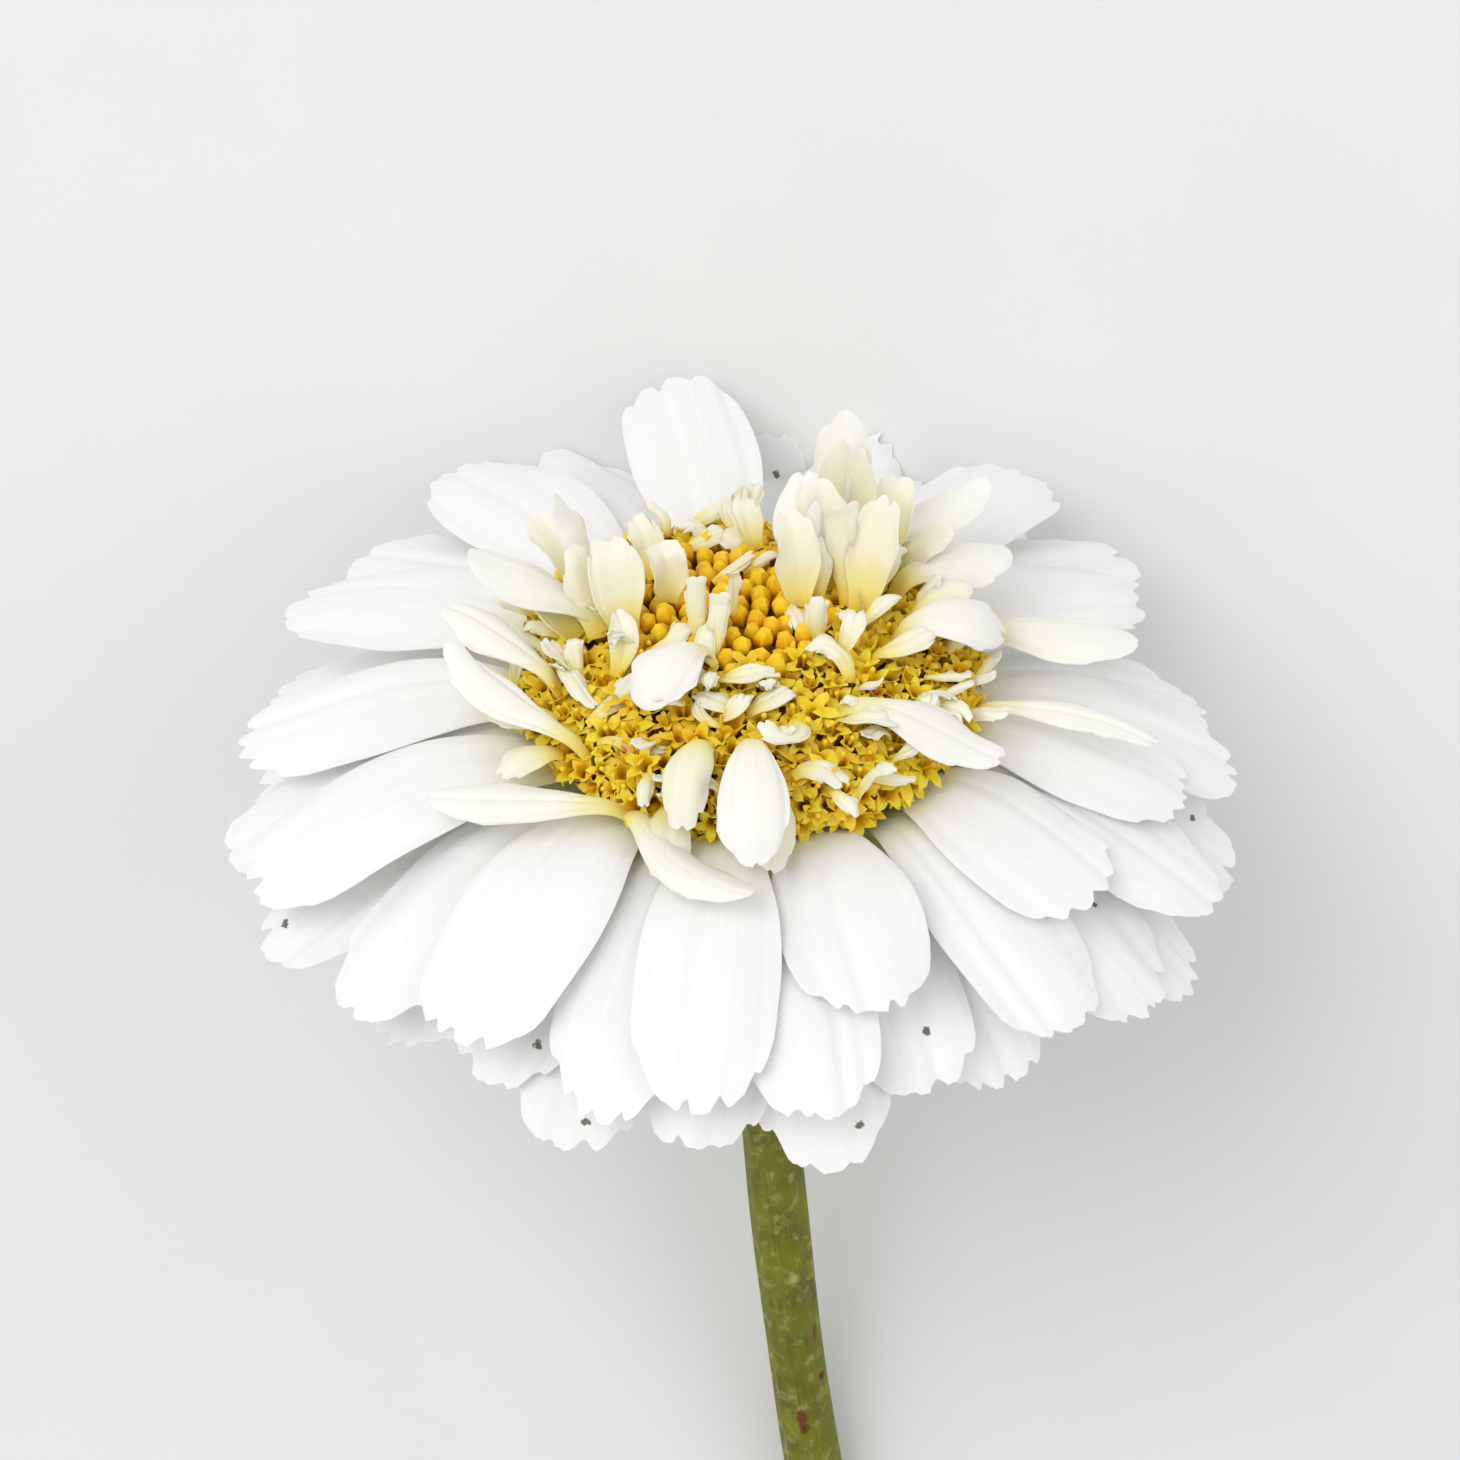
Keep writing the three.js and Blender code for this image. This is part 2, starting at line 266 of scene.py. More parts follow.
def sheet_quads(rows, columns):
    """Quads of two grids, an upper and a lower one, closed along their common border."""
    upper = grid_quads(rows, columns)
    lower = upper[:, ::-1] + rows * columns
    grid = np.arange(rows * columns).reshape(rows, columns)
    border = np.concatenate([grid[0, :-1], grid[:-1, -1], grid[-1, :0:-1], grid[:0:-1, 0]])
    after = np.roll(border, -1)
    rim = np.stack([border, border + rows * columns, after + rows * columns, after], axis=-1)
    return np.concatenate([upper, lower, rim])


LANE_CROWDING = 0.45  # of a blade's lanes towards its edges
STEP_CROWDING = 1.25  # of its steps towards its tip


def blade(strap, look, lanes, steps):
    """A petal as a thin closed sheet on a strap. look says how its tip ends and how it is pleated."""
    u = np.linspace(-1, 1, lanes)
    u = (1 - LANE_CROWDING) * u + LANE_CROWDING * np.sin(u * PI / 2)
    s = 1 - (1 - np.linspace(0, 1, steps)) ** STEP_CROWDING
    t = look["reach"](u)[:, None] * s[None, :]
    across = np.broadcast_to(u[:, None], t.shape)
    wide = across[..., None]
    surface = smooth(strap["middle"], t) + wide * smooth(strap["half"], t)
    surface = surface + wide**2 * smooth(strap["arch"], t)
    up = smooth(strap["up"], t)

    def upper_side():
        """The surface's normals on its upper side, and 1 or -1 for the way its grid winds."""
        n = unit(np.cross(np.gradient(surface, axis=1), np.gradient(surface, axis=0)))
        winding = np.sign((n * up).sum(-1).mean())
        return n * winding, winding

    surface = surface + upper_side()[0] * look["relief"](across, t)[..., None]
    n, winding = upper_side()
    edge = (1 - np.abs(across) ** 4) * (1 - s[None, :] ** 8)
    thick = (look["thin"] + (look["thick"] - look["thin"]) * edge)[..., None]
    upper, lower = surface + n * thick / 2, surface - n * thick / 2
    points = np.concatenate([upper.reshape(-1, 3), lower.reshape(-1, 3)])
    quads = sheet_quads(lanes, steps)
    if winding < 0:
        quads = quads[:, ::-1]
    return points, quads, np.tile(across.ravel(), 2), np.tile(t.ravel(), 2)


TABLE_GAP = 0.02  # of the lowest corners above the table
LYING_THICKNESS = 0.14  # of a petal pressed on to the table


def above_table(points, sheets=1):
    """Keeps every corner above the table, and the upper of two sheets above the lower one."""
    count = len(points) // sheets
    lowest = np.full(len(points), TABLE_GAP)
    if sheets == 2:
        lowest[:count] += LYING_THICKNESS
    points[:, 2] = np.maximum(points[:, 2], lowest)
    return points


# ---- materials


# The colour sockets of a Mix node, by number, because its sockets share their names.
MIX_SHARE, MIX_A, MIX_B, MIX_RESULT = 0, 6, 7, 2


class Shader:
    """A material made of nodes, with short names for the nodes that the pieces use."""

    def __init__(self, name):
        self.material = bpy.data.materials.new(name)
        self.material.use_nodes = True
        self.tree = self.material.node_tree
        self.bsdf = self.tree.nodes["Principled BSDF"]

    def node(self, kind, links=(), **settings):
        made = self.tree.nodes.new(kind)
        for key, value in settings.items():
            setattr(made, key, value)
        for socket, value in dict(links).items():
            self.put(made.inputs[socket], value)
        return made

    def put(self, socket, value):
        if isinstance(value, bpy.types.NodeSocket):
            self.tree.links.new(value, socket)
        elif isinstance(value, tuple) and len(value) == 3 and socket.type == "RGBA":
            socket.default_value = (*value, 1)
        else:
            socket.default_value = value

    def surface(self, **values):
        for key, value in values.items():
            self.put(self.bsdf.inputs[key.replace("_", " ")], value)

    def fact(self, name):
        return self.node("ShaderNodeAttribute", attribute_name=name).outputs["Fac"]

    def place(self):
        return self.node("ShaderNodeTexCoord").outputs["Object"]

    def vector(self, x, y, z):
        return self.node("ShaderNodeCombineXYZ", {"X": x, "Y": y, "Z": z}).outputs[0]

    def math(self, operation, a, b=0.0, c=0.0, clamp=False):
        links = {0: a, 1: b, 2: c}
        return self.node("ShaderNodeMath", links, operation=operation, use_clamp=clamp).outputs[0]

    def times(self, a, b):
        return self.math("MULTIPLY", a, b)

    def noise(self, vector, scale, detail=3.0, roughness=0.5, distortion=0.0):
        links = {
            "Vector": vector, "Scale": scale, "Detail": detail,
            "Roughness": roughness, "Distortion": distortion,
        }
        return self.node("ShaderNodeTexNoise", links).outputs["Fac"]

    def spots(self, vector, scale, flat=False):
        """Distance to the nearest of many scattered points, and a number for each of them."""
        links = {"Vector": vector, "Scale": scale}
        made = self.node("ShaderNodeTexVoronoi", links, voronoi_dimensions="2D" if flat else "3D")
        split = self.node("ShaderNodeSeparateColor", {"Color": made.outputs["Color"]})
        return made.outputs["Distance"], split.outputs[0]

    def within(self, value, low, high, start=0.0, end=1.0):
        """value from low..high mapped to start..end and held there outside it."""
        links = {"Value": value, 1: low, 2: high, 3: start, 4: end}
        return self.node("ShaderNodeMapRange", links, interpolation_type="SMOOTHSTEP").outputs[0]

    def ramp(self, value, stops):
        made = self.node("ShaderNodeValToRGB", {"Fac": value})
        elements = made.color_ramp.elements
        while len(elements) < len(stops):
            elements.new(1.0)
        for element, (place, colour) in zip(elements, stops):
            element.position = place
            element.color = (*colour, 1)
        return made.outputs["Color"]

    def mix(self, share, a, b, blend="MIX"):
        made = self.node("ShaderNodeMix", data_type="RGBA", blend_type=blend)
        for socket, value in ((MIX_SHARE, share), (MIX_A, a), (MIX_B, b)):
            self.put(made.inputs[socket], value)
        return made.outputs[MIX_RESULT]

    def bump(self, height, strength, distance):
        links = {"Strength": strength, "Distance": distance * MM, "Height": height}
        self.put(self.bsdf.inputs["Normal"], self.node("ShaderNodeBump", links).outputs["Normal"])


RAY_LENGTH = 26.0
# Noise and spots read from place() have their scale in cells per metre. Those read from the facts
# across and along have it in cells per half width of the piece.
PETAL_WHITE = (0.94, 0.94, 0.93)
CREAM = (0.92, 0.9, 0.79)
SPECK_BROWN = (0.1, 0.07, 0.05)
POLLEN = (0.85, 0.6, 0.01)
PITH = (0.66, 0.64, 0.3)
SCAR_BLACK = (0.012, 0.008, 0.006)
SPECK_CELLS = 0.24  # per millimetre of a petal, each with at most one speck
SPECK_RARITY = 0.77  # a cell's chance number has to be above this
SHEET_SHIFT = 37.0  # millimetres between the specks of petals whose tints differ by one


def petal_material(name, stops, speck, speckled, veins, size):
    """Thin petal tissue: fine lengthwise veins painted a little grey as shade, a tinted root whose darker
    olive on the rays is partly painted shade, and a few dark specks.
    """
    shader = Shader(name)
    across, along, tint = (shader.fact(key) for key in ("across", "along", "tint"))
    lengthwise = shader.vector(across, shader.times(along, 0.12), tint)
    fibre = shader.noise(lengthwise, veins, detail=4.0, roughness=0.6)
    cells = shader.noise(shader.place(), 2600.0, detail=2.0)
    cloud = shader.noise(shader.place(), 130.0, detail=2.0)
    # the root's colour: a real tint, and on the rays also painted shade where the root goes into the disc
    root_tint_and_shade = shader.math("ADD", along, shader.within(cloud, 0.3, 0.7, -0.05, 0.05))
    colour = shader.ramp(root_tint_and_shade, stops)
    # painted shade: the veins are greyed a little, as if shaded in their grooves
    shade = shader.within(fibre, 0.35, 0.7, 0.0, 0.1)
    colour = shader.mix(shade, colour, (0.7, 0.71, 0.66))
    width, length = size
    sheet_x = shader.math("MULTIPLY_ADD", across, width / 2, shader.times(tint, SHEET_SHIFT))
    sheet_y = shader.times(along, length)
    distance, number = shader.spots(shader.vector(sheet_x, sheet_y, 0.0), SPECK_CELLS, flat=True)
    ragged = shader.math("ADD", distance, shader.within(cells, 0.3, 0.7, -0.035, 0.035))
    near = shader.within(ragged, 0.045, 0.085, 1.0, 0.0)
    chance = shader.times(number, shader.fact("aged"))
    chosen = shader.math("GREATER_THAN", chance, SPECK_RARITY)
    outer = shader.within(along, 0.3, 0.7)
    spotted = shader.times(shader.times(near, chosen), outer)
    colour = shader.mix(shader.times(spotted, speckled), colour, speck)
    height = shader.math("ADD", fibre, shader.times(cells, 0.25))
    shader.bump(height, 0.35, 0.12)
    shader.surface(
        Base_Color=colour,
        Roughness=shader.within(fibre, 0.3, 0.7, 0.5, 0.66),
        Subsurface_Weight=0.35, Subsurface_Scale=0.6 * MM, Subsurface_Radius=(1.0, 0.95, 0.8),
        Specular_IOR_Level=0.35,
        Sheen_Weight=0.08, Sheen_Roughness=0.4,
    )
    return shader.material


def floret_material(name, deep, body, bright, subsurface=0.15):
    """Waxy floret tissue with painted shade: dark where florets press together, bright at the open lobes.
    """
    shader = Shader(name)
    along, tint = shader.fact("along"), shader.fact("tint")
    grain = shader.noise(shader.place(), 900.0, detail=3.0)
    shifted = shader.math("ADD", along, shader.within(grain, 0.3, 0.7, -0.12, 0.12))
    # painted shade: the deep colour low in the florets where they press together, lightening up to the
    # lobes
    colour = shader.ramp(shifted, [(0.0, deep), (0.35, deep), (0.62, body), (1.0, bright)])
    warm = shader.mix(0.4, colour, (1.0, 0.62, 0.12), "MULTIPLY")
    colour = shader.mix(shader.within(tint, 0.45, 1.0, 0.0, 0.8), colour, warm)
    shader.bump(grain, 0.3, 0.08)
    shader.surface(
        Base_Color=colour,
        Roughness=shader.within(grain, 0.3, 0.7, 0.42, 0.6),
        Subsurface_Weight=subsurface, Subsurface_Scale=0.5 * MM, Subsurface_Radius=(1.0, 0.7, 0.25),
        Specular_IOR_Level=0.35,
    )
    return shader.material


def green_material(name, dark, light, fleck, rusty):
    """Green stem and bract tissue: ribbed, mottled, smeared with paler tissue and browned in places."""
    shader = Shader(name)
    across, along = shader.fact("across"), shader.fact("along")
    lengthwise = shader.vector(across, shader.times(along, 0.05), shader.fact("tint"))
    fibre = shader.noise(lengthwise, 26.0, detail=5.0, roughness=0.65)
    blotch = shader.noise(shader.place(), 320.0, detail=4.0, roughness=0.6)
    mottled = shader.math("ADD", shader.times(fibre, 0.55), shader.times(blotch, 0.45))
    colour = shader.ramp(mottled, [(0.3, dark), (0.68, light)])
    smear = shader.noise(shader.place(), 850.0, detail=3.0, roughness=0.6, distortion=0.25)
    colour = shader.mix(shader.within(smear, 0.5, 0.76, 0.0, 0.7), colour, fleck)
    smudge = shader.noise(shader.place(), 420.0, detail=3.0, roughness=0.6)
    colour = shader.mix(shader.within(smudge, 0.6, 0.76, 0.0, 0.6), colour, rusty)
    scar = shader.math("ADD", shader.fact("scar"), shader.within(smear, 0.3, 0.7, -0.2, 0.2))
    colour = shader.mix(shader.within(scar, 0.35, 0.55, 0.0, 0.9), colour, rusty)
    colour = shader.mix(shader.within(scar, 0.8, 0.95, 0.0, 0.9), colour, SCAR_BLACK)
    colour = shader.mix(shader.fact("pale"), colour, PITH)
    shader.bump(shader.math("ADD", fibre, blotch), 0.45, 0.12)
    shader.surface(
        Base_Color=colour,
        Roughness=shader.within(blotch, 0.3, 0.7, 0.45, 0.65),
        Subsurface_Weight=0.08, Subsurface_Scale=0.6 * MM, Subsurface_Radius=(0.6, 1.0, 0.3),
        Specular_IOR_Level=0.3,
    )
    return shader.material


# The ray's root colours are a real yellow-green tint, darkened further as painted shade where the root
# goes into the disc.
ray_white = petal_material(
    "ray_white",
    [(0.0, (0.62, 0.6, 0.2)), (0.14, (0.84, 0.83, 0.55)), (0.32, PETAL_WHITE), (1.0, PETAL_WHITE)],
    speck=SPECK_BROWN, speckled=0.9, veins=15.0, size=(9.0, RAY_LENGTH),
)
inner_cream = petal_material(
    "inner_petal_cream",
    [(0.0, (0.8, 0.6, 0.04)), (0.15, (0.88, 0.78, 0.3)), (0.34, CREAM), (1.0, (0.93, 0.925, 0.88))],
    speck=POLLEN, speckled=0.8, veins=12.0, size=(4.5, 12.0),
)
curl_cream = petal_material(
    "disc_petaloid_cream",
    [(0.0, (0.86, 0.6, 0.02)), (0.2, (0.9, 0.78, 0.26)), (0.5, (0.91, 0.87, 0.64)),
     (1.0, (0.93, 0.91, 0.78))],
    speck=POLLEN, speckled=0.6, veins=9.0, size=(2.0, 5.0),
)
# The first colour of each floret material is painted shade, for where the florets press together.
open_yellow = floret_material(
    "open_floret_yellow", (0.3, 0.12, 0.006), (0.88, 0.58, 0.008), (0.95, 0.76, 0.05))
bud_orange = floret_material("bud_orange", (0.36, 0.14, 0.006), (0.88, 0.5, 0.006), (0.95, 0.66, 0.02))
# The disc bed's dark colours are painted shade, for the gaps between the florets.
bed_painted_shade = floret_material(
    "disc_bed_painted_shade", (0.2, 0.085, 0.006), (0.36, 0.18, 0.008), (0.5, 0.3, 0.02), subsurface=0.05)
bract_green = green_material(
    "bract_green", (0.045, 0.075, 0.02), (0.15, 0.2, 0.05), (0.3, 0.34, 0.14), (0.16, 0.08, 0.03))
stem_green = green_material(
    "stem_green", (0.06, 0.07, 0.003), (0.25, 0.255, 0.012), (0.4, 0.41, 0.13), (0.14, 0.034, 0.006))

# ---- rays and inner petals


OUTERMOST_NOTCH = 0.78  # of half the petal's width


def toothed_tip(rng, depth, teeth, bite, length=RAY_LENGTH):
    """How far each lane reaches: a blunt round end with small irregular notches."""
    skew = rng.uniform(-0.1, 0.1)
    power = rng.uniform(2.1, 2.9)
    places = np.linspace(-OUTERMOST_NOTCH, OUTERMOST_NOTCH, teeth) + rng.uniform(-0.1, 0.1, teeth)
    depths = bite * rng.uniform(0.25, 1.0, teeth) / length
    widths = rng.uniform(0.09, 0.17, teeth)
    waves = rng.uniform(0, 2 * PI, 2)

    def reach(u):
        bent = np.clip(np.abs(u - skew * (1 - u * u)), 0, 1)
        round_end = 1 - depth * (1 - (1 - bent**power) ** 0.55)
        for place, notch, wide in zip(places, depths, widths):
            round_end = round_end - notch * np.maximum(0, 1 - np.abs(u - place) / wide) ** 0.8
        ragged = np.sin(23 * u + waves[0]) + np.sin(41 * u + waves[1])
        return np.clip(round_end - 0.004 - 0.002 * ragged, 0.3, 1)

    return reach, places


def pleats(rng, places, deep, edge, curl, fine=0.014):
    """Relief of a petal: a groove behind each of the larger notches, wavy edges and a bent tip."""
    main = sorted(rng.choice(places, size=min(2, len(places)), replace=False))
    grooves = [(p, deep * rng.uniform(0.6, 1.1), rng.uniform(0.1, 0.18)) for p in main]
    grooves += [(rng.uniform(-0.85, 0.85), deep * 0.22, 0.1) for _ in range(3)]
    phase = rng.uniform(0, 2 * PI, 5)
    beats = rng.uniform(0.8, 1.9, 3)

    def relief(u, t):
        height = np.zeros_like(t)
        open_blade = ease(t, 0.08, 0.4)
        for place, depth, wide in grooves:
            height -= depth * open_blade * np.exp(-(((u - place) / wide) ** 2))
        height += fine * open_blade * np.sin(19 * u + phase[0])
        side = np.where(u > 0, phase[1], phase[2])
        wave = np.sin(2 * PI * np.where(u > 0, beats[0], beats[1]) * t + side)
        height += edge * np.abs(u) ** 3 * wave * ease(t, 0.25, 0.8)
        height += 0.5 * edge * np.sin(2 * PI * beats[2] * t + phase[3]) * ease(t, 0.2, 0.6) * u
        height += curl * ease(t, 0.7, 1.0) ** 2
        return height

    return relief


def blunt(strap, share=0.93):
    """Keeps the strap nearly as wide at its tip as before it, so that the tip's outline shapes it."""
    tip, before = (np.linalg.norm(strap["half"][k]) for k in (-1, -2))
    for key in ("half", "arch"):
        strap[key][-1] *= share * before / tip
    return strap


def rooted(strap, back=0.9, sink=1.0, claw=0.75):
    """Carries a strap's root on into the disc, so that the florets hide its end."""
    first = strap["middle"][0]
    root = first - back * (strap["middle"][1] - first) - sink * FACE
    grown = {key: np.concatenate([values[:1], values]) for key, values in strap.items()}
    grown["middle"][0] = root
    grown["half"][0] *= claw
    grown["arch"][0] *= claw
    return grown


RAY_LANES, RAY_STEPS = 37, 52
AGED = {"upper": 0.55, "second": 0.75, "third": 0.95, "lower": 1.0}  # the outer whorls opened first


def build_rays():
    names = sorted(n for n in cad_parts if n.startswith("ray_"))
    for i, name in enumerate(names):
        rng = np.random.default_rng(100 + i)
        strap = blunt(read_strap(name))
        teeth = int(rng.integers(3, 7))
        reach, places = toothed_tip(rng, rng.uniform(0.15, 0.27), teeth, bite=1.3)
        look = {
            "reach": reach,
            "relief": pleats(rng, places, 0.26, 0.32, rng.uniform(-0.5, 0.3)),
            "thick": 0.27, "thin": 0.09,
        }
        points, quads, across, along = blade(strap, look, RAY_LANES, RAY_STEPS)
        whorl = name.split("_")[1]
        batch = Batch()
        batch.add(above_table(points, sheets=2), quads, across=across, along=along,
                  tint=rng.uniform(0, 9), aged=AGED[whorl])
        batch.piece(name + "_fine", ray_white, "ray_white", [name])


INNER_LANES, INNER_STEPS = 27, 44


def build_inner_petals():
    names = sorted(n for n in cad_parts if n.startswith("inner_petal"))
    for i, name in enumerate(names):
        rng = np.random.default_rng(300 + i)
        strap = rooted(blunt(read_strap(name), 0.8))
        teeth = int(rng.integers(2, 4))
        reach, places = toothed_tip(rng, rng.uniform(0.22, 0.42), teeth, bite=0.9, length=11.0)
        look = {
            "reach": reach,
            "relief": pleats(rng, places, 0.2, 0.3, rng.uniform(-0.4, 0.4), fine=0.012),
            "thick": 0.3, "thin": 0.1,
        }
        points, quads, across, along = blade(strap, look, INNER_LANES, INNER_STEPS)
        batch = Batch()
        batch.add(points, quads, across=across, along=along, tint=rng.uniform(0, 9), aged=0.6)
        batch.piece(name + "_fine", inner_cream, "inner_petal_cream", [name])


# ---- the disc

FLORETS = 500
RIM_FLORETS = 70  # which lean outwards under the disc's rim
GOLDEN_ANGLE = PI * (3 - math.sqrt(5))
BUD_MIDDLE = np.array([-1.4, 2.6])  # where the disc's florets are still closed
BUD_REACH = 6.2
LOBES = 5


def dome_height(radius):
    """The height of the disc's dome in the head's frame."""
    share = np.clip(radius / DISC_RADIUS, 0, 1)
    return DISC_RIM + (DISC_TOP - DISC_RIM) * np.sqrt(1 - share**2)


def dome_places(count):
    """Points spread evenly over the dome in the spiral of a seed head, and the dome's normals."""
    angle = np.linspace(0, PI / 2, 400)
    radius, height = DISC_RADIUS * np.sin(angle), dome_height(DISC_RADIUS * np.sin(angle))
    step = np.hypot(np.diff(radius), np.diff(height)) * (radius[1:] + radius[:-1]) / 2
    area = np.concatenate([[0], np.cumsum(step)])
    share = (np.arange(count) + 0.5) / count
    r = np.interp(share * area[-1] * 0.985, area, radius)
    turn = np.arange(count) * GOLDEN_ANGLE
    z = dome_height(r)
    steep = (DISC_TOP - DISC_RIM) ** 2 * r / (DISC_RADIUS**2 * np.maximum(z - DISC_RIM, 0.35))
    normal = unit(np.stack([np.cos(turn) * steep, np.sin(turn) * steep, np.ones(count)], axis=-1))
    return np.stack([r * np.cos(turn), r * np.sin(turn), z], axis=-1), normal


ASKEW = np.array([0.31, 0.95, 0.02])  # a direction that no floret stands in


def turned(local, direction, spin):
    """Points about +z turned to stand along a direction of the head's frame."""
    z = unit(np.asarray(direction, float))
    x = unit(np.cross(ASKEW, z))
    y = np.cross(z, x)
    c, s = math.cos(spin), math.sin(spin)
    return local @ np.stack([x * c + y * s, y * c - x * s, z])


def ring_at(angle, radius, height):
    """Corners round the z axis, whose radius and height are one number or one for each."""
    height = np.broadcast_to(height, angle.shape)
    return np.stack([radius * np.cos(angle), radius * np.sin(angle), height], axis=-1)


def shell_of_rings(rings):
    """A closed body through rings of corners, with a middle corner at each end."""
    rings = np.asarray(rings)
    count, sides = rings.shape[:2]
    points = np.concatenate([rings.reshape(-1, 3), [rings[0].mean(0)], [rings[-1].mean(0)]])
    quads = grid_quads(count, sides, closed=True)
    i = np.arange(sides)
    j = (i + 1) % sides
    low = np.stack([np.full(sides, count * sides), j, i], axis=-1)
    last = (count - 1) * sides
    high = np.stack([np.full(sides, count * sides + 1), last + i, last + j], axis=-1)
    return points, quads, np.concatenate([low, high])


FLORET_FOOT = -2.6  # height of an open floret's lower end under its mouth
LOBE_OUTLINE = np.array([1.0, 0.55, 0.0, 0.55])  # reach from one lobe's point on to the next lobe


def open_floret(rng, size, flare):
    """A tube that opens into five pointed lobes, out of which its inside is seen."""
    per_lobe = len(LOBE_OUTLINE)
    sides = per_lobe * LOBES
    angle = np.arange(sides) * 2 * PI / sides
    lobe = np.tile(LOBE_OUTLINE, LOBES) * np.repeat(rng.uniform(0.75, 1.2, LOBES), per_lobe)
    throat = 0.5
    outer = [(0.26, FLORET_FOOT, 0), (0.34, -1.6, 0), (0.42, -0.8, 0), (throat, -0.15, 0)]
    rim = [(throat + 0.04, 0.0, 0.45), (throat, -0.02, 1.0)]
    inner = [(throat - 0.08, -0.02, 0.42), (0.4, -0.2, 0), (0.2, -0.9, 0)]
    rings, along = [], []
    for radius, height, spread in outer + rim + inner:
        out = lobe * spread
        reach = radius + 0.95 * flare * out
        rise = height + out * (0.62 - 0.5 * flare) - 0.25 * flare * out**2
        rings.append(ring_at(angle, reach, rise))
        # along sets the painted shade: dark at the floret's foot, lighter up to its lobes
        along.append(np.interp(height, [FLORET_FOOT, -0.9, 0.0], [0.0, 0.35, 0.72]) + 0.3 * out)
    points, quads, triangles = shell_of_rings(rings)
    along = np.concatenate([np.concatenate(along), [0.0, 0.2]])
    return points * size, quads, triangles, along


def closed_bud(size):
    """A floret that hasn't opened: an egg with five ridges that meet at a dimpled top."""
    sides = 3 * LOBES
    angle = np.arange(sides) * 2 * PI / sides
    ridge = 1 + 0.15 * np.cos(LOBES * angle)
    profile = [(0.2, -2.4), (0.3, -1.5), (0.44, -0.8), (0.54, -0.3), (0.55, 0.1), (0.45, 0.45),
               (0.27, 0.66), (0.1, 0.56)]
    points, quads, triangles = shell_of_rings([ring_at(angle, r * ridge, z) for r, z in profile])
    # along sets the painted shade: dark low down, lighter at the bud's top
    shade = np.interp([z for _, z in profile], [-2.4, -0.7, 0.1, 0.5], [0.0, 0.3, 0.75, 0.95])
    along = np.concatenate([np.repeat(shade, sides), [0.0, 0.8]])
    return points * size, quads, triangles, along


def stigma(size):
    """The column in an open floret's throat, with a swollen end."""
    sides = 8
    angle = np.arange(sides) * 2 * PI / sides
    profile = [(0.1, -0.7), (0.13, 0.0), (0.12, 0.45), (0.19, 0.62), (0.15, 0.78), (0.05, 0.84)]
    points, quads, triangles = shell_of_rings([ring_at(angle, r, z) for r, z in profile])
    shade = np.linspace(0.55, 0.85, len(profile))
    return points * size, quads, triangles, np.concatenate([np.repeat(shade, sides), [0.5, 0.85]])


def plant(batch, floret, foot, lean, spin, tint):
    """Adds a floret that stands on a foot in the head's frame and leans from it."""
    points, quads, triangles, along = floret
    batch.add(from_head(foot + turned(points, lean, spin)), quads, triangles, along=along, tint=tint)


STIGMA_SHARE = 0.55  # of the open florets
INNER_REACH = 0.75  # of the disc's radius, where the open florets are parted into two pieces


def build_florets():
    rng = np.random.default_rng(7)
    places, normals = dome_places(FLORETS)
    buds, inner, outer = Batch(), Batch(), Batch()
    for place, normal in zip(places, normals):
        away = np.linalg.norm((place[:2] - BUD_MIDDLE) * [1, 0.8]) / BUD_REACH
        radius = np.hypot(place[0], place[1]) / DISC_RADIUS
        lean = unit(normal * [0.75, 0.75, 1.0] + rng.normal(0, 0.16, 3))
        spin = rng.uniform(0, 2 * PI)
        rise = rng.uniform(-0.55, 0.35)
        tint = rng.uniform(0, 1)
        closed = away + rng.normal(0, 0.16) < 1
        if closed:
            floret = closed_bud(rng.uniform(1.05, 1.3))
            batch = buds
        else:
            floret = open_floret(rng, rng.uniform(0.95, 1.6), rng.uniform(0.1, 1.0))
            batch = inner if radius < INNER_REACH else outer
        foot = place + lean * (rise - 0.5)
        plant(batch, floret, foot, lean, spin, tint)
        if not closed and rng.uniform() < STIGMA_SHARE:
            plant(batch, stigma(rng.uniform(0.9, 1.2)), foot, lean, spin, min(1.0, tint + 0.4))
    for k in range(RIM_FLORETS):
        turn = 2 * PI * (k + rng.uniform(-0.3, 0.3)) / RIM_FLORETS
        lean = np.array([math.cos(turn), math.sin(turn), rng.uniform(-0.35, 0.35)])
        foot = np.array([math.cos(turn), math.sin(turn), 0]) * (DISC_RADIUS - rng.uniform(0.6, 1.6))
        foot[2] = DISC_RIM - rng.uniform(0.2, 1.3)
        floret = open_floret(rng, rng.uniform(0.9, 1.4), rng.uniform(0.2, 0.9))
        plant(outer, floret, foot, lean, rng.uniform(0, 2 * PI), rng.uniform(0, 0.8))
    buds.piece("disc_buds", bud_orange, "disc_yellow", ["disc_florets"])
    inner.piece("disc_open_florets_inner", open_yellow, "disc_yellow", ["disc_florets"])
    outer.piece("disc_open_florets_outer", open_yellow, "disc_yellow", ["disc_florets"])


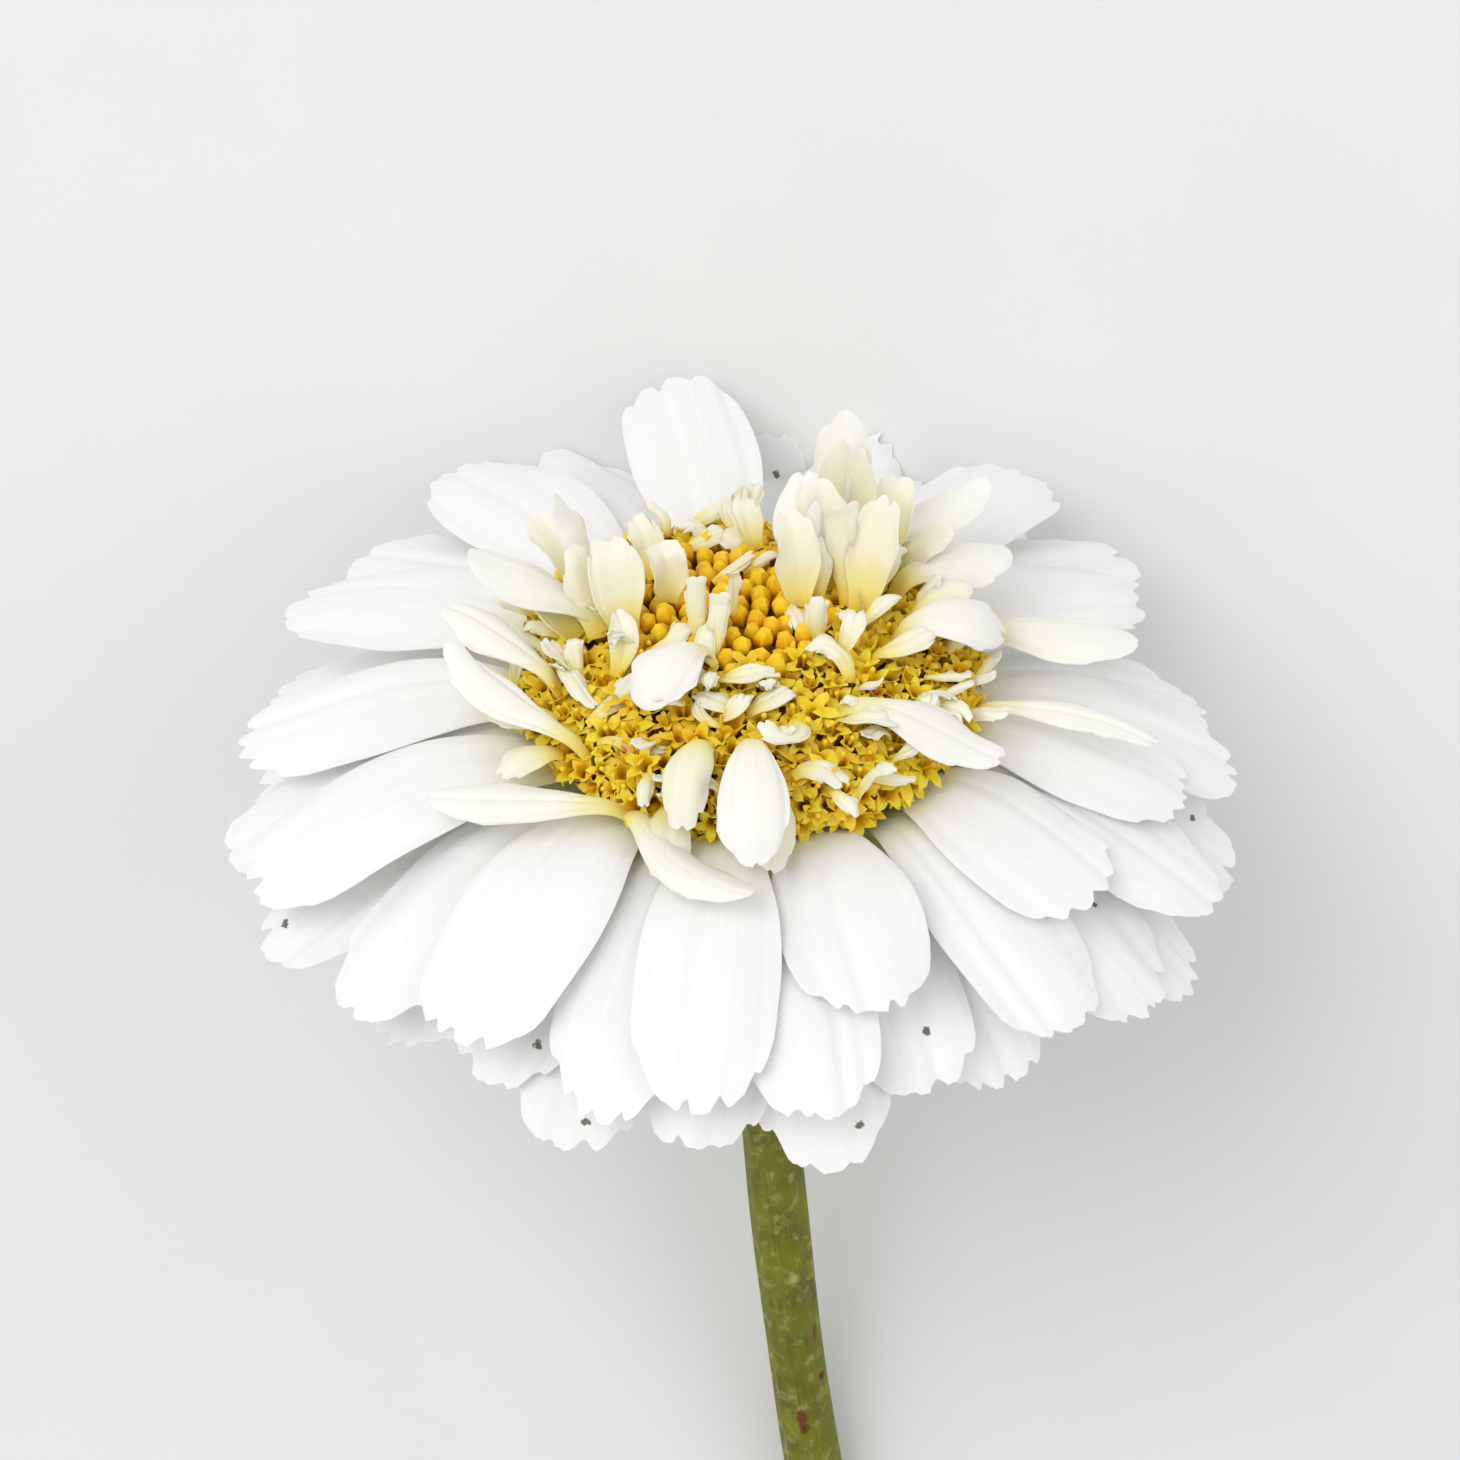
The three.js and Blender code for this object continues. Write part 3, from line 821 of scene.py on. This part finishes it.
def build_disc_bed():
    """A dark body painted as the shade between the florets: a bumpy dome under them, closed below."""
    sides, rows = 96, 26
    angle = np.arange(sides) * 2 * PI / sides
    rings, shade = [], []
    for k in range(rows):
        tilt = (k + 0.4) / rows * PI / 2
        r = (DISC_RADIUS - 1.5) * math.cos(PI / 2 - tilt)
        z = dome_height(r + 1.2) - 1.7
        bumps = 0.25 * np.sin(9 * angle + 1.7 * k) * np.sin(1.3 * k)
        rings.append(ring_at(angle, r, z + bumps))
        # higher bumps take a lighter tone of the painted shade
        shade.append(0.5 + bumps)
    for r, z in ((DISC_RADIUS - 2.2, -0.4), (11.5, -0.8), (8.0, 1.2), (4.0, 2.4)):
        rings.append(ring_at(angle, r, z))
        shade.append(np.full(sides, 0.4))
    points, quads, triangles = shell_of_rings(rings)
    batch = Batch()
    # The rings start at the top, so the faces are turned to point out.
    batch.add(from_head(points), quads[:, ::-1], triangles[:, ::-1],
              along=np.concatenate([*shade, [0.5, 0.5]]), tint=0.3)
    batch.piece("disc_bed", bed_painted_shade, "disc_yellow", ["disc_florets"])


# Cream petal-like florets among the yellow ones. Each is a strap: x and y of its root in the head's
# frame, its heading, what the heading turns by, its slopes from root to tip, length, width and roll.
CURLS = [
    (-3.5, -2.9, 100, 0, (76, 82, 80, 58), 5.6, 1.6, 0.5),
    (-2.6, -4.1, 60, 30, (66, 74, 66, 40), 4.8, 1.5, 0.5),
    (-1.1, 0.2, 90, 0, (80, 84, 80), 4.0, 0.9, 0.6),
    (-2.6, 4.4, 28, 10, (26, 18, 12), 3.8, 1.0, 0.7),
    (-0.4, 5.6, 30, -20, (30, 20, 5), 3.2, 0.9, 0.7),
    (-1.7, 11.4, -70, 30, (68, 30, -20, -50), 4.4, 2.6, 0.5),
    (-4.6, 9.4, 15, 20, (40, 14, -8), 3.8, 1.9, 0.5),
    (7.2, -6.2, 100, 110, (66, 40, 0, -24), 5.0, 1.7, 0.3),
    (-0.5, -9.6, 168, -30, (36, 14, -4, -14), 4.0, 1.9, 0.2),
    (-0.1, -9.6, 20, 25, (34, 12, 10, -20), 4.2, 1.9, 0.2),
    (-1.8, -10.6, 190, -210, (30, 10, -5, -10), 4.6, 1.1, 0.4),
    (2.6, -10.6, -20, -250, (30, 20, 0, -10), 6.4, 1.3, 0.4),
    (3.0, -14.2, 20, -70, (34, 4, -40, -60), 4.4, 2.2, 0.5),
    (-13.6, -2.4, -74, 26, (40, 4, -22, 16), 6.6, 1.6, 0.2),
    (-11.4, -8.8, 30, 30, (36, 8, 40, 24), 5.2, 1.5, 0.2),
    (-10.6, -10.4, -10, -20, (24, -24, 24, -16), 5.4, 1.4, 0.2),
    (-7.6, -4.4, 30, 10, (26, 30, 12), 4.8, 1.8, 0.3),
    (12.0, -7.6, 90, -200, (20, 6, 0), 4.4, 0.8, 0.4),
    (12.6, -4.2, -20, 40, (26, 0, -16), 3.4, 0.8, 0.5),
    (13.4, -6.2, 40, -30, (30, 10, -10), 3.2, 0.8, 0.5),
    (5.8, -14.8, -60, 20, (24, -10, -50), 3.4, 1.3, 0.4),
    (8.2, -13.6, -4, 0, (14, 0, -12), 3.6, 1.1, 0.5),
    (-14.4, -1.4, 120, 110, (44, 14, -10), 4.2, 1.1, 0.4),
    (5.0, 2.4, 80, 10, (76, 74, 62), 4.8, 1.8, 0.5),
    (2.6, 1.8, -66, -14, (24, 0, -14), 4.4, 1.3, 0.5),
    (5.0, -2.3, 100, 0, (84, 82, 70), 3.6, 1.7, 0.6),
    (6.4, 3.4, 16, -30, (48, 4, -40), 3.8, 1.8, 0.4),
    (-9.0, 3.8, 110, 20, (70, 60, 34), 4.2, 1.6, 0.4),
    (8.6, 7.4, 70, 20, (64, 52, 20), 4.6, 1.8, 0.4),
    (-6.8, -13.6, -110, 30, (20, -12, -34), 3.6, 1.2, 0.3),
    # broad ones: the tall group on the right, the pair on the left, and those at the rim
    (3.6, 1.4, 95, 30, (72, 76, 60, 34), 7.4, 3.4, -0.4),
    (5.9, 3.8, 116, -30, (62, 74, 66, 30), 8.4, 3.8, -0.45),
    (7.4, 2.0, 90, 24, (58, 70, 76, 88), 8.0, 3.0, 0.55),
    (8.2, 1.4, 70, -26, (56, 68, 58, 24), 8.6, 3.8, -0.4),
    (7.2, 8.6, 84, 20, (66, 80, 74, 50), 9.4, 4.0, -0.4),
    (9.4, 8.2, 50, 40, (46, 56, 70, 20), 7.0, 3.2, -0.5),
    (10.4, 6.4, 36, -40, (46, 44, 30, -6), 6.4, 3.2, 0.3),
    (-8.7, -1.4, 118, -20, (58, 68, 60, 40), 7.6, 3.8, -0.35),
    (-10.6, -0.8, 112, 24, (54, 66, 62, 30), 7.2, 3.4, 0.3),
    (-12.4, -0.4, 146, 20, (40, 50, 34, -4), 7.0, 3.6, -0.3),
    (-11.8, 5.4, 150, -30, (52, 48, 30, 4), 6.8, 3.0, -0.35),
    (-13.6, -7.4, 186, -24, (36, 10, -16, -30), 5.2, 2.8, 0.5),
    (-13.2, -10.0, 196, 30, (30, 4, -18, -30), 5.4, 2.6, 0.4),
    (-5.4, -15.8, -100, 20, (14, -20, -40, -50), 6.0, 3.4, 0.25),
    (-3.0, -11.9, -110, 20, (44, -4, -40, -84), 9.6, 3.2, 0.55),
    (1.6, -15.2, -84, -20, (14, -24, -48, -70), 7.0, 3.0, 0.35),
    (9.0, -3.0, -30, 90, (44, 20, -14), 5.4, 2.2, 0.3),
    (-5.8, 2.2, 96, 30, (80, 84, 60), 4.8, 2.6, -0.75),
    (-7.4, 5.6, 80, 60, (60, 50, -10), 4.8, 2.4, -0.4),
    (11.6, 1.8, 10, 50, (48, 24, 0, -20), 5.6, 2.8, 0.4),
    (-9.4, -5.2, 60, 70, (50, 30, 10), 5.0, 2.0, -0.4),
    (0.6, 8.8, 130, -50, (60, 40, -10), 4.4, 2.2, -0.4),
    (-2.0, -6.6, -40, 80, (40, 10, 20), 4.6, 1.8, -0.3),
    (6.6, -9.6, -60, 100, (40, 10, -20), 5.0, 2.0, -0.3),
    (10.8, -9.4, 0, 120, (40, 16, -10), 4.6, 1.4, 0.3),
]
SCATTERED_CURLS = 60
CURL_LANES, CURL_STEPS = 15, 28
CURL_SINK = 0.4  # of its root below the dome


def curl_strap(x, y, heading, sway, slopes, length, width, roll):
    """The strap of a small curled floret, grown from its root on the dome."""
    radius = math.hypot(x, y)
    point = np.array([x, y, float(dome_height(radius)) - CURL_SINK])
    shares = np.linspace(0, 1, STRAP_RINGS)
    slope = np.radians(np.interp(shares, np.linspace(0, 1, len(slopes)), slopes))
    turn = np.radians(heading + sway * shares)
    middle, half, arch, ups = [], [], [], []
    for t, a, b in zip(shares, slope, turn):
        along = np.array([math.cos(a) * math.cos(b), math.cos(a) * math.sin(b), math.sin(a)])
        side = np.array([-math.sin(b), math.cos(b), 0.0])
        up = np.cross(along, side)
        wide = width / 2 * (0.5 + 0.5 * float(ease(t, 0.0, 0.5)))
        middle.append(point.copy())
        half.append(side * wide)
        arch.append(-up * wide * roll)
        ups.append(up)
        point = point + along * length / (STRAP_RINGS - 1)
    turn = HEAD_TURN.T
    return {
        "middle": from_head(np.array(middle)), "half": np.array(half) @ turn,
        "arch": np.array(arch) @ turn, "up": np.array(ups) @ turn,
    }


def add_curl(batch, rng, strap, length):
    """Adds a curled floret with a toothed tip. A short one is less wavy."""
    reach, places = toothed_tip(rng, rng.uniform(0.2, 0.4), 3, bite=0.8, length=length)
    wavy = rng.uniform(0.2, 0.42) * min(1.0, length / 6)
    look = {
        "reach": reach, "relief": pleats(rng, places, 0.16, wavy, rng.uniform(-0.7, 0.7), fine=0.01),
        "thick": 0.24, "thin": 0.1,
    }
    points, quads, across, along = blade(strap, look, CURL_LANES, CURL_STEPS)
    batch.add(points, quads, across=across, along=along, tint=rng.uniform(0, 9), aged=0.0)


def build_curls():
    rng = np.random.default_rng(11)
    batch = Batch()
    for x, y, heading, sway, slopes, length, width, roll in CURLS:
        add_curl(batch, rng, curl_strap(x, y, heading, sway, slopes, length, width, roll), length)
    placed = 0
    while placed < SCATTERED_CURLS:
        radius = DISC_RADIUS * math.sqrt(rng.uniform(0.08, 0.98))
        turn = rng.uniform(0, 2 * PI)
        x, y = radius * math.cos(turn), radius * math.sin(turn)
        if math.hypot(x - BUD_MIDDLE[0], y - BUD_MIDDLE[1]) < 0.8 * BUD_REACH:
            continue
        slopes = rng.uniform([35, 10, -40], [75, 60, 25])
        length = rng.uniform(2.4, 4.4)
        heading = math.degrees(turn) + rng.uniform(-110, 110)
        strap = curl_strap(x, y, heading, rng.uniform(-120, 120), slopes, length,
                           rng.uniform(0.9, 1.9), rng.uniform(-0.6, 0.6))
        add_curl(batch, rng, strap, length)
        placed += 1
    batch.piece("disc_petaloid_florets", curl_cream, "inner_petal_cream", ["disc_florets"])


# ---- involucre and stem

CUP_SLOPES = (10, 20, 32, 44)  # degrees, from the stem to the cup's rim
CUP_START = (2.7, -11.75)  # radius and height where the line leaves the stem
CUP_LENGTH = 13.0
CUP_POINTS = 41
CUP_SIDES = 72
# Radius and height from the cup's rim on to its top, which the disc hides.
CUP_INSIDE = [(12.1, -6.2), (12.1, -2.3), (11, -1.2), (8, 0.8), (4, 2.0), (1, 2.4)]
CUP_GREEN = -5.5  # height below which the cup is green
BRACT_ROWS = [
    # bracts, share of the cup's line, how far below it, width, turn as a share of one bract
    (14, 0.88, 0.0, 5.2, 0.0),
    (14, 0.78, 0.3, 4.6, 0.5),
    (12, 0.55, 0.6, 4.0, 0.2),
]
BRACT_LANES, BRACT_STEPS = 17, 26


def cup_line():
    """Points on the underside of the receptacle, from the stem outwards, and their slopes."""
    shares = np.linspace(0, 1, CUP_POINTS)
    slope = np.radians(np.interp(shares, np.linspace(0, 1, len(CUP_SLOPES)), CUP_SLOPES))
    step = CUP_LENGTH / (CUP_POINTS - 1)
    radius = CUP_START[0] + np.concatenate([[0], np.cumsum(np.cos(slope[:-1]) * step)])
    height = CUP_START[1] + np.concatenate([[0], np.cumsum(np.sin(slope[:-1]) * step)])
    return radius, height, slope


def add_cup(batch, radius, height):
    angle = np.arange(CUP_SIDES) * 2 * PI / CUP_SIDES
    profile = [(r, z) for r, z in zip(radius, height + 0.25) if r < 12] + CUP_INSIDE
    points, quads, triangles = shell_of_rings([ring_at(angle, r, z) for r, z in profile])
    around = np.concatenate([np.tile(np.sin(angle * 7), len(profile)), [0, 0]])
    pale = np.repeat([float(z > CUP_GREEN) for _, z in profile], CUP_SIDES)
    batch.add(from_head(points), quads, triangles, across=around, along=0.5, tint=0.0, scar=0.0,
              pale=np.concatenate([pale, [0, 1]]))


def bract_strap(line, reach, drop, width, turn):
    """A bract that follows the cup's line as far as reach, a drop below it, turned about the axis."""
    t = np.linspace(0, 1, STRAP_RINGS)
    r, z, slope = (np.interp(t * reach, np.linspace(0, 1, CUP_POINTS), values) for values in line)
    flat = np.zeros(STRAP_RINGS)
    out = np.stack([r, flat, z - drop], axis=-1)
    up = np.stack([-np.sin(slope), flat, np.cos(slope)], axis=-1)
    side = np.broadcast_to([0.0, 1.0, 0.0], (STRAP_RINGS, 3))
    wide = (width / 2 * (0.45 + 0.55 * ease(t, 0, 0.55)) * (1 - 0.35 * ease(t, 0.6, 1)))[:, None]
    c, s = math.cos(turn), math.sin(turn)
    spin = np.array([[c, s, 0], [-s, c, 0], [0, 0, 1]]) @ HEAD_TURN.T
    arch = 0.22 * up * wide @ spin
    return {"middle": HEAD_ORIGIN + out @ spin, "half": side * wide @ spin, "arch": arch, "up": up @ spin}


def midrib(u, t):
    """Relief of a bract: a rib under its middle, and edges that bend up."""
    return -0.22 * np.exp(-((u / 0.13) ** 2)) * (1 - t) + 0.1 * np.abs(u) ** 3


def build_involucre():
    """The swollen top of the stem, with rows of overlapping bracts whose edges are brown and papery."""
    line = cup_line()
    batch = Batch()
    add_cup(batch, *line[:2])
    rng = np.random.default_rng(23)
    for count, share, drop, width, offset in BRACT_ROWS:
        for k in range(count):
            turn = 2 * PI * (k + offset) / count + rng.uniform(-0.05, 0.05)
            strap = bract_strap(line, share * rng.uniform(0.92, 1.0), drop, width, turn)
            reach, _ = toothed_tip(rng, 0.5, 2, bite=0.3, length=10.0)
            look = {"reach": reach, "relief": midrib, "thick": 0.5, "thin": 0.12}
            points, quads, across, along = blade(strap, look, BRACT_LANES, BRACT_STEPS)
            papery = np.clip(ease(np.abs(across), 0.72, 1.0) + ease(along, 0.8, 1.0), 0, 1)
            batch.add(points, quads, across=across, along=along, tint=rng.uniform(0, 9),
                      scar=0.75 * papery, pale=0.0)
    batch.piece("involucre_fine", bract_green, "bract_green", ["involucre"])


STEM_SIDES, STEM_STEPS = 60, 200
STEM_RIBS = 9
RIB_DEPTH = 0.03  # of the stem's radius, as the next one
STEM_UNEVEN = 0.04
STEM_GRAIN = 14  # times as long as a bract, for the fibres
CAD_STEM_CORNERS = 28  # of each ring of the CAD stem
CUT_REACH = 1.2  # corners this close to the farthest one belong to the cut end
# Rings inside the outline of the cut end: share of its radius, depth, and how pale they are.
CUT_RINGS = [(0.97, 0.0, 0.0), (0.8, 0.06, 0.6), (0.55, 0.12, 0.8), (0.25, 0.2, 0.7)]
# Marks on the stem: share of its length, angle round it, half length and half width, depth 0..1.
STEM_SCARS = [
    (0.773, 277, 1.1, 0.8, 0.78),
    (0.787, 275, 0.7, 0.6, 1.0),
    (0.729, 216, 0.65, 0.55, 1.0),
    (0.67, 219, 1.8, 0.5, 0.6),
]
STEM_PALE_SPOTS = [(0.59, 253, 0.45, 0.4, 0.6)]


def read_stem():
    """The middles of the CAD stem's rings, from the head to the cut end, and its radius."""
    points, triangles = node_mesh("stem")
    cut_end = points[points[:, 1] < points[:, 1].min() + CUT_REACH].mean(0)
    nearest = np.argsort(((points - cut_end) ** 2).sum(1))[:CAD_STEM_CORNERS]
    rings = rings_from(set(nearest), neighbours_of(triangles))
    rings = [points[ring] for ring in rings if len(ring) == CAD_STEM_CORNERS]
    whole = rings[4]  # away from the cut end
    radius = np.linalg.norm(whole - whole.mean(0), axis=1).mean()
    return np.array([ring.mean(0) for ring in rings])[::-1], radius


def marks(places, lengthwise, turns, radius):
    """How deep in the nearest mark each corner is. lengthwise is in millimetres from the stem's top."""
    level = np.zeros(len(turns))
    length = lengthwise.max()
    for share, turn, half_length, half_width, depth in places:
        off_along = (lengthwise - share * length) / half_length
        off_round = np.angle(np.exp(1j * (turns - math.radians(turn)))) * radius / half_width
        level = np.maximum(level, depth * ease(-np.hypot(off_along, off_round), -1.3, -0.1))
    return level


def build_stem():
    """A faintly ribbed stem of uneven thickness, with a slightly hollow cut end."""
    centres, radius = read_stem()
    t = np.linspace(0, 1, STEM_STEPS)
    path = smooth(centres, t)
    along = unit(np.gradient(path, axis=0))
    side = unit(np.cross(along, [0.0, 0.0, 1.0]) + [0.0, 0.0, 1e-9])
    up = np.cross(along, side)
    angle = np.arange(STEM_SIDES) * 2 * PI / STEM_SIDES
    rib = 1 - RIB_DEPTH + RIB_DEPTH * np.cos(STEM_RIBS * angle)[None, :]
    thin = STEM_UNEVEN * (0.5 + 0.5 * np.sin(2 * PI * 3 * t + 1.0))
    swell = 1 - thin + STEM_UNEVEN * ease(-t, -0.06, 0)
    r = radius * rib * np.minimum(swell, 1.0)[:, None]
    rings = path[:, None] + r[..., None] * (
        np.cos(angle)[None, :, None] * side[:, None] + np.sin(angle)[None, :, None] * up[:, None])
    end = rings[-1]
    cut = [end.mean(0) + (end - end.mean(0)) * share - along[-1] * depth for share, depth, _ in CUT_RINGS]
    rings = np.concatenate([rings, np.array(cut)])
    points, quads, triangles = shell_of_rings(rings)
    share = np.repeat(np.concatenate([t, np.full(len(cut), 1.0)]), STEM_SIDES)
    length = np.linalg.norm(np.diff(path, axis=0), axis=1).sum()
    around = np.tile(np.cos(angle) + 0.3 * np.sin(3 * angle), len(rings))
    turns = np.tile(angle, len(rings))
    scar = marks(STEM_SCARS, share * length, turns, radius)
    pale = np.repeat([0.0] * STEM_STEPS + [paleness for _, _, paleness in CUT_RINGS], STEM_SIDES)
    pale = np.maximum(pale, marks(STEM_PALE_SPOTS, share * length, turns, radius))
    batch = Batch()
    batch.add(above_table(points), quads, triangles,
              across=np.concatenate([around, [0, 0]]),
              along=np.concatenate([share * STEM_GRAIN, [0, STEM_GRAIN]]),
              tint=0.0, scar=np.concatenate([scar, [0, 0]]), pale=np.concatenate([pale, [0, 0.7]]))
    batch.piece("stem_fine", stem_green, "stem_green", ["stem"])


build_rays()
build_inner_petals()
build_disc_bed()
build_florets()
build_curls()
build_involucre()
build_stem()

# ---- floor, light and camera


FLOOR_HALF = 1.2  # metres
FLOOR_GAP = 0.05  # under the lowest point of the flower


def build_floor():
    mesh = bpy.data.meshes.new("floor")
    corners = [(-FLOOR_HALF, -FLOOR_HALF, 0), (FLOOR_HALF, -FLOOR_HALF, 0),
               (FLOOR_HALF, FLOOR_HALF, 0), (-FLOOR_HALF, FLOOR_HALF, 0)]
    mesh.from_pydata(corners, [], [(0, 1, 2, 3)])
    floor = bpy.data.objects.new("floor", mesh)
    floor.location.z = cad_box[0].z - FLOOR_GAP * MM
    bpy.context.scene.collection.objects.link(floor)
    shader = Shader("floor_pale")
    grain = shader.noise(shader.place(), 60.0, detail=2.0)
    shader.surface(
        Base_Color=shader.mix(shader.within(grain, 0.3, 0.7), (0.8, 0.8, 0.8), (0.81, 0.81, 0.81)),
        Roughness=0.8, Specular_IOR_Level=0.1,
    )
    mesh.materials.append(shader.material)


def aimed(made, at):
    """Turns a light or the camera to look at a point."""
    made.rotation_euler = (Vector(at) - made.location).to_track_quat("-Z", "Y").to_euler()


LIGHTS = [
    # name, place and size in metres, watts
    ("key", (-0.4, 0.45, 0.8), 0.7, 3.7),
    ("fill", (0.6, 0.2, 0.7), 0.7, 0.9),
]
WORLD_LIGHT = 0.7


def add_light(name, place, size, watts, at):
    data = bpy.data.lights.new(name, "AREA")
    data.shape, data.size, data.energy = "DISK", size, watts
    made = bpy.data.objects.new(name, data)
    made.location = place
    bpy.context.scene.collection.objects.link(made)
    aimed(made, at)


VIEW_ABOVE = math.radians(77)  # of the camera above the horizon
VIEW_DISTANCE = 380.0
VIEW_LENS, VIEW_SENSOR = 129.2, 36
VIEW_ASIDE, VIEW_BELOW = 1.3, 3.05  # the head's centre is off the middle of the picture


def build_camera():
    back = np.array([0, math.cos(VIEW_ABOVE), math.sin(VIEW_ABOVE)])
    up = np.array([0, math.sin(VIEW_ABOVE), -math.cos(VIEW_ABOVE)])
    right = np.cross(up, back)
    place = HEAD_ORIGIN + back * VIEW_DISTANCE - right * VIEW_ASIDE - up * VIEW_BELOW
    data = bpy.data.cameras.new("camera")
    data.lens, data.sensor_width = VIEW_LENS, VIEW_SENSOR
    data.clip_start, data.clip_end = 0.01, 20
    camera = bpy.data.objects.new("camera", data)
    turn = Matrix([[*row] for row in np.stack([right, up, back], axis=1)]).to_4x4()
    turn.translation = Vector(place * MM)
    camera.matrix_world = turn
    bpy.context.scene.collection.objects.link(camera)
    bpy.context.scene.camera = camera


def build_light():
    world = bpy.data.worlds.new("studio")
    bpy.context.scene.world = world
    world.use_nodes = True
    background = world.node_tree.nodes["Background"]
    background.inputs["Color"].default_value = (1, 1, 1, 1)
    background.inputs["Strength"].default_value = WORLD_LIGHT
    for name, place, size, watts in LIGHTS:
        add_light(name, place, size, watts, at=HEAD_ORIGIN * MM)
    bpy.context.scene.view_settings.view_transform = "Standard"


build_floor()
build_camera()
build_light()
